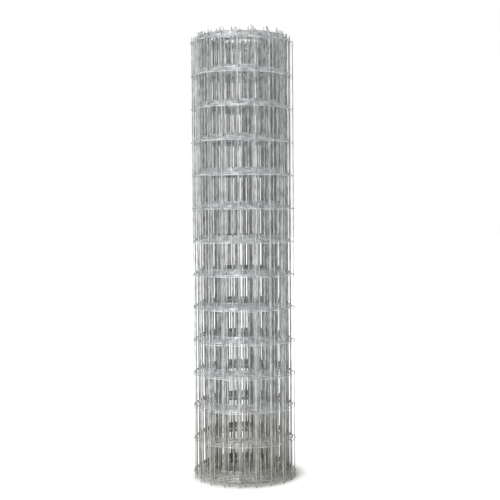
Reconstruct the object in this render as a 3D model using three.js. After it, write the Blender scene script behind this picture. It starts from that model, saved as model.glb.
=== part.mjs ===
import * as THREE from "three";

// A roll of galvanised welded wire mesh, standing on one end. Millimetres, +Z up.
// The origin is at the middle of the standing end, and +Z runs up the roll's axis.
// The mesh is one welded sheet, so the coiled sheet is one turned solid with its bore.
// Each turn shows on both ends as a step of its own, because a wound roll drifts up and
// down its axis, and each row of line wires shows as a raised band round the wall.

// The mesh itself: line wires run round the roll, and the upright wires that cross them
// stand past the outermost line wires as short tails
const wireDiameter = 2.5;
const linePitch = 100;
const lineCount = 14;
const tailLength = 20;

// The winding: the drift is the height between the lowest turn and the highest one,
// and it rises and falls once over this many turns
const boreDiameter = 160;
const turnCount = 17;
const turnPitch = 4.75;
const axialDrift = 24;
const driftTurns = 14;

// The turned solid has this many flats round it
const facetCount = 32;

const boreRadius = boreDiameter / 2;
const rollRadius = boreRadius + turnCount * turnPitch;
const meshWidth = (lineCount - 1) * linePitch + 2 * tailLength;

const galvanisedSteel = new THREE.MeshStandardMaterial({
  color: 0xa9acab,
  roughness: 0.5,
  metalness: 0.85,
});

// The radius where a turn starts, counted outwards from the bore.
function turnRadius(turn) {
  return boreRadius + turn * turnPitch;
}

// How far a turn sits above the floor. The outermost turn carries the roll, at zero,
// and the drift rises and falls evenly from there inwards.
function turnShift(turn) {
  const turnsIn = turnCount - 1 - turn;
  const cycle = (turnsIn / driftTurns) % 1;
  return axialDrift * (1 - Math.abs(2 * cycle - 1));
}

// Steps across one end, from the bore outwards: a flat ring for each turn.
function endSteps(endHeight) {
  const steps = [];
  for (let turn = 0; turn < turnCount; turn += 1) {
    const height = endHeight + turnShift(turn);
    steps.push(new THREE.Vector2(turnRadius(turn), height));
    steps.push(new THREE.Vector2(turnRadius(turn + 1), height));
  }
  return steps;
}

// The outer wall, from the bottom up: it is sunk by one wire between the line wire bands.
function wallRecesses() {
  const sunkRadius = rollRadius - wireDiameter;
  const points = [];
  for (let line = 0; line < lineCount - 1; line += 1) {
    const lowest = tailLength + line * linePitch + axialDrift + wireDiameter / 2;
    const highest = tailLength + (line + 1) * linePitch - wireDiameter / 2;
    points.push(new THREE.Vector2(rollRadius, lowest));
    points.push(new THREE.Vector2(sunkRadius, lowest));
    points.push(new THREE.Vector2(sunkRadius, highest));
    points.push(new THREE.Vector2(rollRadius, highest));
  }
  return points;
}

// The roll's closed half section, turned about the axis.
function meshRollGeometry() {
  const section = [
    ...endSteps(0),
    ...wallRecesses(),
    ...endSteps(meshWidth).reverse(),
  ];
  section.push(section[0].clone());
  return new THREE.LatheGeometry(section, facetCount);
}

const meshRoll = new THREE.Mesh(meshRollGeometry(), galvanisedSteel);
meshRoll.name = "mesh_roll";
meshRoll.rotation.x = Math.PI / 2;

const weldedMeshRoll = new THREE.Group();
weldedMeshRoll.add(meshRoll);

export default weldedMeshRoll;
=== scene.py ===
import math
import bpy
import numpy as np
from mathutils import Matrix, Vector


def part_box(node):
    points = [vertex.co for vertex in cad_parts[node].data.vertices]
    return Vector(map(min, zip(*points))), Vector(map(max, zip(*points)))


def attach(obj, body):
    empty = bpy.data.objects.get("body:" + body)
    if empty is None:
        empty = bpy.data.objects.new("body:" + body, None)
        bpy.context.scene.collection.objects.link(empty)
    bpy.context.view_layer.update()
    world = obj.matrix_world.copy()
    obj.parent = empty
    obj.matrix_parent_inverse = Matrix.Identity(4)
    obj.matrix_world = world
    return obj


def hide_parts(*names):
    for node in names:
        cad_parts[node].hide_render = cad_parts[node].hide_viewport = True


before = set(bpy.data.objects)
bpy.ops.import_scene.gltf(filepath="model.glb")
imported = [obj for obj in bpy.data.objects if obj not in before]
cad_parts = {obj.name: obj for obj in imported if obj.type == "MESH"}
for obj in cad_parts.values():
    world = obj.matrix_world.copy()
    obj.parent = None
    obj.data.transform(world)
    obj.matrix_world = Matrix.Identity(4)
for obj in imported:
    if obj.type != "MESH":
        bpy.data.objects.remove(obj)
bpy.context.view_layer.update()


# Line wires
# One sheet of welded mesh, 100 x 50 mm, is wound into a coil that stands on its wire tails,
# and drifts up and down its axis as it winds. Fourteen galvanised line wires run round it,
# on the outer face of the sheet, each from the loose outer end of the sheet to the bore.
outer_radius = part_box("mesh_roll")[1].x
wire_diameter = 0.0025
wire_radius = wire_diameter / 2
line_pitch = 0.100
line_count = 14
tail_length = 0.020
sheet_width = (line_count - 1) * line_pitch + 2 * tail_length

turn_count = 17
bore_radius = 0.080
spring_out = 0.004
spring_turns = 0.30
turn_pitch = (outer_radius - spring_out - bore_radius) / turn_count
axial_drift = 0.024
drift_turns = 14
outer_end_angle = math.radians(105)

rng = np.random.default_rng(14)


def sheet_radius(turns_in):
    """Radius of the coil's outer face, counted in turns from the loose outer end."""
    loose = np.clip(1 - turns_in / spring_turns, 0, 1) ** 2
    return outer_radius - spring_out - turns_in * turn_pitch + spring_out * loose


def sheet_angle(turns_in):
    """Angle round the axis, from the front (-Y) towards +X."""
    return outer_end_angle - 2 * math.pi * turns_in


def sheet_shift(turns_in):
    """How far the coil sits above its lowest turn at this point."""
    cycle = (turns_in / drift_turns) % 1
    return axial_drift * (1 - np.abs(2 * cycle - 1))


def on_sheet(turns_in, depth, height):
    """Points that lie depth inside the coil's outer face, at a height on the sheet."""
    radius = sheet_radius(turns_in) - depth
    angle = sheet_angle(turns_in)
    z = height + sheet_shift(turns_in)
    return np.stack([radius * np.sin(angle), -radius * np.cos(angle), z], axis=-1)


line_sides = 8
line_steps_per_turn = 48
line_wander = 0.0004
most_wander = 0.005
wander_lengths = np.array([0.83, 0.47, 0.29, 0.17, 0.098])
sharp_edge = math.radians(65)


def wire_mesh(name, paths, radii, sides, across):
    """One mesh of round wires, each a ring of points carried along its own path."""
    along = np.gradient(paths, axis=1)
    along /= np.linalg.norm(along, axis=2, keepdims=True)
    side = np.cross(along, across)
    side /= np.linalg.norm(side, axis=2, keepdims=True)
    up = np.cross(along, side)
    turn = np.arange(sides) * 2 * math.pi / sides
    rings = (
        paths[:, :, None, :]
        + (radii[:, :, None] * np.cos(turn))[..., None] * side[:, :, None, :]
        + (radii[:, :, None] * np.sin(turn))[..., None] * up[:, :, None, :]
    )
    index = np.arange(rings.size // 3).reshape(rings.shape[:3])
    beside = np.roll(index, -1, axis=2)
    walls = np.stack([index[:, :-1], beside[:, :-1], beside[:, 1:], index[:, 1:]], axis=-1)
    faces = walls.reshape(-1, 4).tolist()
    faces += index[:, 0, ::-1].tolist()
    faces += index[:, -1, :].tolist()
    mesh = bpy.data.meshes.new(name)
    mesh.from_pydata(rings.reshape(-1, 3).tolist(), [], faces)
    mesh.shade_smooth()
    mesh.set_sharp_from_angle(angle=sharp_edge)
    piece = bpy.data.objects.new(name, mesh)
    bpy.context.scene.collection.objects.link(piece)
    return piece


def wander(arc, count, size):
    """A smooth sideways wander along the wire, different for each of count wires."""
    phases = rng.uniform(0, 2 * math.pi, (count, wander_lengths.size))
    waves = np.sin(2 * math.pi * arc[None, :, None] / wander_lengths + phases[:, None, :])
    return size * waves.sum(axis=2)


line_turns = np.linspace(0, turn_count, turn_count * line_steps_per_turn + 1)
steps = np.diff(line_turns) * 2 * math.pi * sheet_radius(line_turns[:-1])
line_arc = np.concatenate([[0], np.cumsum(steps)])
line_height = tail_length + line_pitch * np.arange(line_count)
line_paths = np.stack([on_sheet(line_turns, wire_radius, h) for h in line_height])
line_rise = wander(line_arc, line_count, line_wander)
line_paths[:, :, 2] += np.clip(line_rise, -most_wander, most_wander)
line_radii = np.full(line_paths.shape[:2], wire_radius)
line_wires = wire_mesh("line_wires", line_paths, line_radii, line_sides, (0, 0, 1))


def add_node(tree, kind, settings=(), values=()):
    """A shader node with its settings and the values of its unlinked inputs."""
    node = tree.nodes.new(kind)
    for name, value in dict(settings).items():
        setattr(node, name, value)
    for name, value in dict(values).items():
        node.inputs[name].default_value = value
    return node


# Painted shade at the foot of the roll: near the floor the wires' colour is mixed towards
# this warm dark grey, fading out by this height.
foot_shade_colour = (0.25, 0.245, 0.18, 1.0)
foot_shade_reach = 0.30


def zinc_coat_group():
    """Hot-dip zinc on wire: pale and dull patches, fine grain, and painted shade that
    darkens the wires to a warm grey towards the floor.
    """
    tree = bpy.data.node_groups.new("zinc_coat", "ShaderNodeTree")
    face = tree.interface
    for name, kind in (
        ("Patch Scale", "NodeSocketFloat"),
        ("Pale Zinc", "NodeSocketColor"),
        ("Dull Zinc", "NodeSocketColor"),
        ("Foot Shade", "NodeSocketFloat"),
    ):
        face.new_socket(name, in_out="INPUT", socket_type=kind)
    for name, kind in (
        ("Color", "NodeSocketColor"),
        ("Roughness", "NodeSocketFloat"),
        ("Height", "NodeSocketFloat"),
    ):
        face.new_socket(name, in_out="OUTPUT", socket_type=kind)
    given = tree.nodes.new("NodeGroupInput")
    result = tree.nodes.new("NodeGroupOutput")
    place = add_node(tree, "ShaderNodeTexCoord")
    link = tree.links.new

    patches = add_node(tree, "ShaderNodeTexNoise", values={"Detail": 3.0})
    link(place.outputs["Object"], patches.inputs["Vector"])
    link(given.outputs["Patch Scale"], patches.inputs["Scale"])
    spread = add_node(
        tree, "ShaderNodeMapRange",
        values={"From Min": 0.36, "From Max": 0.62, "To Min": 0.0, "To Max": 1.0},
    )
    link(patches.outputs["Fac"], spread.inputs["Value"])
    zinc = add_node(tree, "ShaderNodeMix", {"data_type": "RGBA"})
    link(spread.outputs["Result"], zinc.inputs["Factor"])
    link(given.outputs["Dull Zinc"], zinc.inputs["A"])
    link(given.outputs["Pale Zinc"], zinc.inputs["B"])

    grain = add_node(tree, "ShaderNodeTexNoise", values={"Scale": 900.0, "Detail": 2.0})
    link(place.outputs["Object"], grain.inputs["Vector"])
    grain_tone = add_node(
        tree, "ShaderNodeMapRange", values={"To Min": 0.86, "To Max": 1.10}
    )
    link(grain.outputs["Fac"], grain_tone.inputs["Value"])
    grained = add_node(
        tree, "ShaderNodeMix", {"data_type": "RGBA", "blend_type": "MULTIPLY"},
        {"Factor": 1.0},
    )
    link(zinc.outputs["Result"], grained.inputs["A"])
    link(grain_tone.outputs["Result"], grained.inputs["B"])

    # Painted shade: the lower the point, the more its colour is darkened towards the foot
    # colour, standing in for the shade at the roll's foot.
    height = add_node(tree, "ShaderNodeSeparateXYZ")
    link(place.outputs["Object"], height.inputs["Vector"])
    foot_shade_mask = add_node(
        tree, "ShaderNodeMapRange",
        values={"From Min": 0.0, "From Max": foot_shade_reach, "To Min": 1.0, "To Max": 0.0},
    )
    link(height.outputs["Z"], foot_shade_mask.inputs["Value"])
    foot_shade_amount = add_node(tree, "ShaderNodeMath", {"operation": "MULTIPLY"})
    link(foot_shade_mask.outputs["Result"], foot_shade_amount.inputs[0])
    link(given.outputs["Foot Shade"], foot_shade_amount.inputs[1])
    finish = add_node(
        tree, "ShaderNodeMix", {"data_type": "RGBA"}, {"B": foot_shade_colour}
    )
    link(foot_shade_amount.outputs["Value"], finish.inputs["Factor"])
    link(grained.outputs["Result"], finish.inputs["A"])

    satin = add_node(
        tree, "ShaderNodeMapRange",
        values={"From Min": 0.3, "From Max": 0.7, "To Min": 0.62, "To Max": 0.40},
    )
    link(patches.outputs["Fac"], satin.inputs["Value"])
    link(finish.outputs["Result"], result.inputs["Color"])
    link(satin.outputs["Result"], result.inputs["Roughness"])
    link(grain.outputs["Fac"], result.inputs["Height"])
    return tree


zinc_coat = zinc_coat_group()


def zinc_material(name, patch_scale, pale, dull, foot_shade, metallic, bump):
    """A galvanised finish of its own on the shared zinc coat, with its own strength of
    painted shade near the floor.
    """
    material = bpy.data.materials.new(name)
    material.use_nodes = True
    tree = material.node_tree
    shader = tree.nodes["Principled BSDF"]
    shader.inputs["Metallic"].default_value = metallic
    coat = add_node(
        tree, "ShaderNodeGroup", {"node_tree": zinc_coat},
        {"Patch Scale": patch_scale, "Pale Zinc": pale, "Dull Zinc": dull, "Foot Shade": foot_shade},
    )
    grain = add_node(
        tree, "ShaderNodeBump", values={"Strength": bump, "Distance": 0.0002}
    )
    tree.links.new(coat.outputs["Color"], shader.inputs["Base Color"])
    tree.links.new(coat.outputs["Roughness"], shader.inputs["Roughness"])
    tree.links.new(coat.outputs["Height"], grain.inputs["Height"])
    tree.links.new(grain.outputs["Normal"], shader.inputs["Normal"])
    return material


line_wires.data.materials.append(
    zinc_material(
        "line_wire_zinc",
        patch_scale=55.0,
        pale=(0.66, 0.68, 0.69, 1),
        dull=(0.34, 0.35, 0.36, 1),
        foot_shade=0.45,
        metallic=0.6,
        bump=0.35,
    )
)
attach(line_wires, "root")
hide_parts("mesh_roll")


# Upright wires
# A straight wire crosses the line wires every 50 mm of the sheet and is welded to each,
# on the coil's inner side. Both ends stand past the edge line wires as short cut tails.
upright_pitch = 0.050
upright_sides = 8
first_upright = 0.0500
upright_slip = 0.0008
racking_lengths = np.array([2.3, 1.31, 0.74])
racking_lean = 0.0016
racking_bow = 0.0008
tail_lean = 0.0010
shortest_tail = 0.50
cut_slant = 0.9
weld_set_in = 2 * wire_diameter - turn_pitch
upright_depth = wire_radius + wire_diameter - weld_set_in

upright_rng = np.random.default_rng(115955)
upright_arc = np.arange(first_upright, line_arc[-1], upright_pitch)
upright_count = upright_arc.size
upright_arc = upright_arc + upright_rng.uniform(-upright_slip, upright_slip, upright_count)
upright_turns = np.interp(upright_arc, line_arc, line_turns)


def racking(size):
    """How far the sheet is racked out of square, which changes slowly along it."""
    phases = upright_rng.uniform(0, 2 * math.pi, racking_lengths.size)
    waves = np.sin(2 * math.pi * upright_arc[:, None] / racking_lengths + phases)
    return (size * waves.sum(axis=1))[:, None, None]


lean = racking(racking_lean)
bow = racking(racking_bow)
upright_height = np.concatenate(
    [
        [0.0, 0.5 * tail_length],
        tail_length + line_pitch * np.arange(0, line_count - 0.5, 0.5),
        [sheet_width - 0.5 * tail_length, sheet_width],
    ]
)
upright_paths = np.stack(
    [on_sheet(upright_turns, upright_depth, h) for h in upright_height], axis=1
)

angle = sheet_angle(upright_turns)
round_way = np.stack([np.cos(angle), np.sin(angle), 0 * angle], axis=1)
out_way = np.stack([np.sin(angle), -np.cos(angle), 0 * angle], axis=1)
rise = (upright_height / sheet_width - 0.5)[None, :, None]
upright_paths += (lean * rise * 2 + bow * (1 - 4 * rise**2)) * round_way[:, None, :]

# Past the two points of each tail, every second point is a crossing
crossings = upright_paths[:, 2:-2:2]

# Tips, tails and edge crossings at both ends. The lower tails keep their full length,
# because the roll stands on them
for tip, near, edge in ((0, 1, 2), (-1, -2, -3)):
    cut = cut_slant * rng.uniform(shortest_tail, 1, upright_count)[:, None]
    sideways = rng.normal(0, tail_lean, (upright_count, 1)) * round_way
    inward = -np.abs(rng.normal(0, tail_lean, (upright_count, 1))) * out_way
    if tip == 0:
        cut = np.ones_like(cut)
    tail = (upright_paths[:, tip] - upright_paths[:, edge]) * cut
    upright_paths[:, tip] = upright_paths[:, edge] + tail + sideways + inward
    upright_paths[:, near] = upright_paths[:, edge] + tail / 2 + (sideways + inward) / 3

upright_radii = np.full(upright_paths.shape[:2], wire_radius)
upright_wires = wire_mesh(
    "upright_wires", upright_paths, upright_radii, upright_sides, (1, 0, 0)
)
upright_wires.data.materials.append(
    zinc_material(
        "upright_wire_zinc",
        patch_scale=40.0,
        pale=(0.62, 0.64, 0.64, 1),
        dull=(0.30, 0.31, 0.31, 1),
        foot_shade=0.65,
        metallic=0.6,
        bump=0.35,
    )
)
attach(upright_wires, "root")
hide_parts("mesh_roll")


# Welds
# Each crossing is a resistance weld: the two wires are pressed into each other, and the
# zinc that runs back over the joint leaves a small rough bead.
weld_length = 0.0030
weld_radius = 0.0019
weld_swell = np.array([0.55, 1.0, 0.55]) * weld_radius
weld_spread = (0.85, 1.12)
weld_sides = 6

weld_lift = (upright_depth - wire_radius) / 2
weld_spots = (crossings + weld_lift * out_way[:, None, :]).reshape(-1, 3)
weld_way = np.repeat(round_way, line_count, axis=0)
weld_offset = (np.array([-0.5, 0, 0.5]) * weld_length)[None, :, None]
weld_paths = weld_spots[:, None, :] + weld_offset * weld_way[:, None, :]
weld_size = rng.uniform(*weld_spread, (weld_spots.shape[0], 1))
weld_beads = wire_mesh(
    "weld_beads", weld_paths, weld_size * weld_swell, weld_sides, (0, 0, 1)
)
weld_beads.data.materials.append(
    zinc_material(
        "weld_zinc",
        patch_scale=120.0,
        pale=(0.70, 0.71, 0.71, 1),
        dull=(0.26, 0.26, 0.25, 1),
        foot_shade=0.65,
        metallic=0.4,
        bump=0.6,
    )
)
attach(weld_beads, "root")
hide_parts("mesh_roll")


# Floor
# A plain white studio floor that glows beyond a small circle round the roll. This is
# painted light: it makes the floor as bright as the backdrop further off, so that its edge
# vanishes, and wipes out the roll's shadow beside its base. Under the roll it does not
# glow.
floor_radius = 30.0
painted_glow_from = 0.140
painted_glow_full = 0.26
painted_glow_level = 0.80
floor_white = (0.93, 0.93, 0.92, 1)
floor_roughness = 0.9
floor_shine = 0.1
floor_rim_points = 96
bpy.ops.mesh.primitive_circle_add(
    vertices=floor_rim_points, radius=floor_radius, fill_type="NGON"
)
floor = bpy.context.object
floor.name = "studio_floor"
floor_paint = bpy.data.materials.new("studio_floor")
floor_paint.use_nodes = True
paint = floor_paint.node_tree.nodes["Principled BSDF"]
paint.inputs["Base Color"].default_value = floor_white
paint.inputs["Roughness"].default_value = floor_roughness
paint.inputs["Specular IOR Level"].default_value = floor_shine
paint.inputs["Emission Strength"].default_value = 1.0
floor_nodes = floor_paint.node_tree
floor_place = add_node(floor_nodes, "ShaderNodeTexCoord")
floor_reach = add_node(floor_nodes, "ShaderNodeVectorMath", {"operation": "LENGTH"})
# Painted light: the floor's glow rises from nothing close round the roll to full strength a
# little further out, so the roll casts no visible shadow beside its base.
painted_floor_glow = add_node(
    floor_nodes, "ShaderNodeMapRange",
    {"interpolation_type": "SMOOTHSTEP"},
    {"From Min": painted_glow_from, "From Max": painted_glow_full, "To Max": painted_glow_level},
)
floor_nodes.links.new(floor_place.outputs["Object"], floor_reach.inputs[0])
floor_nodes.links.new(floor_reach.outputs["Value"], painted_floor_glow.inputs["Value"])
floor_nodes.links.new(painted_floor_glow.outputs["Result"], paint.inputs["Emission Color"])
floor.data.materials.append(floor_paint)


# Light
# A dim, even room and two broad soft lights: the main one from high up in front and a
# little to the left, and a weaker one from low down on the left. The backdrop shows as
# plain white, but lights the roll only as brightly as the room.
backdrop_level = 1.0
studio_level = 0.24
studio_slope = (-0.12, -0.08, 0.14)
world = bpy.data.worlds.new("studio")
bpy.context.scene.world = world
world.use_nodes = True
sky = world.node_tree
backdrop = sky.nodes["Background"]
backdrop.inputs["Color"].default_value = (1, 1, 1, 1)
facing = add_node(sky, "ShaderNodeTexCoord")
glow = add_node(sky, "ShaderNodeVectorMath", {"operation": "DOT_PRODUCT"})
glow.inputs[1].default_value = studio_slope
level = add_node(sky, "ShaderNodeMath", {"operation": "ADD"})
level.inputs[1].default_value = studio_level
seen = add_node(sky, "ShaderNodeLightPath")
strength = add_node(sky, "ShaderNodeMix")
strength.inputs["B"].default_value = backdrop_level
sky.links.new(facing.outputs["Generated"], glow.inputs[0])
sky.links.new(glow.outputs["Value"], level.inputs[0])
sky.links.new(seen.outputs["Is Camera Ray"], strength.inputs["Factor"])
sky.links.new(level.outputs["Value"], strength.inputs["A"])
sky.links.new(strength.outputs["Result"], backdrop.inputs["Strength"])

lamps = (
    ("high_light", (-0.35, -0.80, 0.95), 35, 2.6),
    ("left_light", (-0.70, -0.70, 0.25), 60, 0.55),
)
for name, towards, spread_degrees, sun_strength in lamps:
    lamp_data = bpy.data.lights.new(name, "SUN")
    lamp_data.angle = math.radians(spread_degrees)
    lamp_data.energy = sun_strength
    lamp = bpy.data.objects.new(name, lamp_data)
    bpy.context.scene.collection.objects.link(lamp)
    lamp.rotation_euler = (-Vector(towards)).to_track_quat("-Z", "Y").to_euler()


# Camera
# The eye is level with the upper middle of the roll, a little over three metres in front
# of it, and looks slightly down and to the right of the axis.
eye_distance = 3.233
eye_height = 0.811
lens_pixels = 1059
frame_pixels = 500
aim_right = 0.023
aim_below_eye = 0.1153
camera_roll = math.radians(-0.42)
sensor_width = 36

camera_data = bpy.data.cameras.new("camera")
camera_data.sensor_width = sensor_width
camera_data.lens = lens_pixels * sensor_width / frame_pixels
camera = bpy.data.objects.new("camera", camera_data)
bpy.context.scene.collection.objects.link(camera)
bpy.context.scene.camera = camera
eye = Vector((0, -eye_distance, eye_height))
aim = Vector((aim_right, 0, eye_height - aim_below_eye))
look = (aim - eye).to_track_quat("-Z", "Y").to_matrix().to_4x4()
camera.matrix_world = Matrix.Translation(eye) @ look @ Matrix.Rotation(camera_roll, 4, "Z")

bpy.context.scene.view_settings.view_transform = "Standard"
